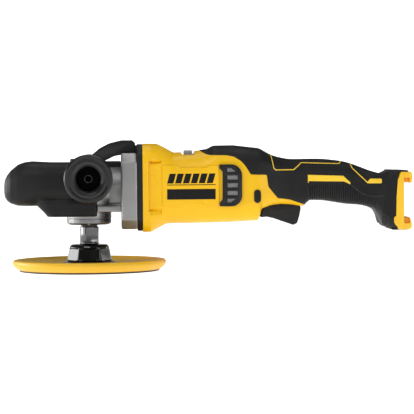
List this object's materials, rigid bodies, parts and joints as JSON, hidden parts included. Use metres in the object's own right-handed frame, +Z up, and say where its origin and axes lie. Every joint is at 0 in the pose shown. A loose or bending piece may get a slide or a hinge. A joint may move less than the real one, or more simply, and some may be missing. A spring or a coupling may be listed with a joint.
{
  "type": "rotary polisher",
  "caption": "Cordless rotary polisher: round backing pad on a geared spindle, rubber-covered head with side handle threads, motor housing, paddle trigger and slide-on battery foot.",
  "frame": {"origin": "centre of the backing pad's working face, on the spindle axis", "axes": "+Z up the spindle away from the work, +X back along the motor to the battery foot, -Y to the tool's left side"},
  "size_m": [0.4735, 0.18, 0.152],
  "materials": {
    "baffle_plastic": "moulded",
    "bearing_steel": "ground",
    "button_plastic": "satin",
    "cast_case": "die cast, bead blasted",
    "circuit_board": "solder mask",
    "collar_plastic": "satin",
    "cover_rubber": "fine moulded texture",
    "dial_plastic": "ribbed",
    "fan_plastic": "moulded",
    "gear_steel": "hardened and ground",
    "grip_rubber": "soft overmould",
    "hook_fabric": "woven hook tape",
    "housing_plastic": "fine spark-eroded texture",
    "hub_plastic": "glossy",
    "inner_plastic": "moulded",
    "label_film": "printed film, blank",
    "machined_cap": "machined",
    "polished_steel": "turned and polished",
    "receiver_plastic": "moulded",
    "rotor_steel": "ground",
    "screw_steel": "black oxide",
    "spring_steel": "drawn wire",
    "stator_steel": "laminated",
    "terminal_brass": "bright",
    "terminal_plastic": "moulded",
    "trigger_plastic": "satin",
    "urethane": "satin cast urethane",
    "vent_mesh": "fine mesh",
    "vent_plastic": "moulded",
    "winding_wire": "enamelled copper wire"
  },
  "bodies": {
    "tool": {"baffle_ring": "baffle_plastic", "battery_receiver": "receiver_plastic", "bearing_cap": "machined_cap", "bearing_cap_screws": "screw_steel", "bumper_arch": "cover_rubber", "control_board": "circuit_board", "flange_screws": "screw_steel", "gear_case": "cast_case", "gear_case_cover": "cover_rubber", "grip_overmould_left": "grip_rubber", "grip_overmould_right": "grip_rubber", "handle_collar_left": "collar_plastic", "handle_collar_right": "collar_plastic", "housing_left": "housing_plastic", "housing_right": "housing_plastic", "housing_screws": "screw_steel", "label_plates": "label_film", "lower_spindle_bearing_outer_race": "bearing_steel", "motor_bearing_outer_race": "bearing_steel", "motor_end_bracket": "inner_plastic", "palm_grip_core": "inner_plastic", "pinion_bearing_outer_race": "bearing_steel", "ring_gear": "gear_steel", "speed_potentiometer": "inner_plastic", "spindle_release_spring": "spring_steel", "stator": "stator_steel", "switch_module": "inner_plastic", "terminal_blades": "terminal_brass", "terminal_block": "terminal_plastic", "trigger_pin": "screw_steel", "trigger_spring": "spring_steel", "upper_spindle_bearing_outer_race": "bearing_steel", "vent_meshes": "vent_mesh", "vent_shield_left": "vent_plastic", "vent_shield_right": "vent_plastic", "windings": "winding_wire"},
    "output": {"hook_face_disc": "hook_fabric", "backing_pad": "urethane", "pad_hub": "hub_plastic", "spindle": "polished_steel", "crown_gear": "gear_steel", "lower_spindle_bearing_inner_race": "bearing_steel", "upper_spindle_bearing_inner_race": "bearing_steel"},
    "pinion_set": {"bevel_pinion": "gear_steel", "planet_carrier": "gear_steel", "pinion_bearing_inner_race": "bearing_steel"},
    "planet_1": {"planet_gear_1": "gear_steel"},
    "planet_2": {"planet_gear_2": "gear_steel"},
    "planet_3": {"planet_gear_3": "gear_steel"},
    "motor_rotor": {"motor_shaft": "gear_steel", "rotor": "rotor_steel", "fan": "fan_plastic", "motor_bearing_inner_races": "bearing_steel"},
    "trigger_paddle": {"trigger": "trigger_plastic"},
    "lock_slider": {"trigger_lock_button": "button_plastic"},
    "dial": {"speed_dial": "dial_plastic"},
    "spindle_release": {"spindle_release_button": "button_plastic", "spindle_release_pin": "gear_steel"}
  },
  "joints": [
    {"name": "spindle_spin", "type": "hinge", "parent": "tool", "child": "output", "pos_m": [0, 0, 0.06], "axis": [0, 0, 1], "continuous": true},
    {"name": "pinion_spin", "type": "hinge", "parent": "tool", "child": "pinion_set", "pos_m": [0.031, 0, 0.097], "axis": [1, 0, 0], "continuous": true},
    {"name": "motor_spin", "type": "hinge", "parent": "tool", "child": "motor_rotor", "pos_m": [0.097, 0, 0.097], "axis": [1, 0, 0], "continuous": true},
    {"name": "planet_1_spin", "type": "hinge", "parent": "pinion_set", "child": "planet_1", "pos_m": [0.045, 0, 0.085], "axis": [1, 0, 0], "continuous": true},
    {"name": "planet_2_spin", "type": "hinge", "parent": "pinion_set", "child": "planet_2", "pos_m": [0.045, 0.01039, 0.103], "axis": [1, 0, 0], "continuous": true},
    {"name": "planet_3_spin", "type": "hinge", "parent": "pinion_set", "child": "planet_3", "pos_m": [0.045, -0.01039, 0.103], "axis": [1, 0, 0], "continuous": true},
    {"name": "trigger_pull", "type": "hinge", "parent": "tool", "child": "trigger_paddle", "pos_m": [0.206, 0, 0.08], "axis": [0, -1, 0], "range_deg": [0, 7], "stiffness_Nm_per_rad": 0.3, "springref_deg": -17.19},
    {"name": "trigger_lock_press", "type": "slide", "parent": "tool", "child": "lock_slider", "axis": [0, 1, 0], "range_m": [0, 0.003], "stiffness_N_per_m": 300, "springref_m": -0.003},
    {"name": "speed_dial_turn", "type": "hinge", "parent": "tool", "child": "dial", "pos_m": [0.116, 0, 0.1322], "axis": [1, 0, 0], "range_deg": [-135, 135]},
    {"name": "spindle_release_press", "type": "slide", "parent": "tool", "child": "spindle_release", "axis": [0, 0, -1], "range_m": [0, 0.0028], "stiffness_N_per_m": 500, "springref_m": -0.004, "deforming": ["spindle_release_spring"]}
  ],
  "couplings": [
    {"joint": "pinion_spin", "follows": "spindle_spin", "ratio": 2},
    {"joint": "motor_spin", "follows": "spindle_spin", "ratio": 10},
    {"joint": "planet_1_spin", "follows": "spindle_spin", "ratio": -5.3333},
    {"joint": "planet_2_spin", "follows": "spindle_spin", "ratio": -5.3333},
    {"joint": "planet_3_spin", "follows": "spindle_spin", "ratio": -5.3333}
  ]
}
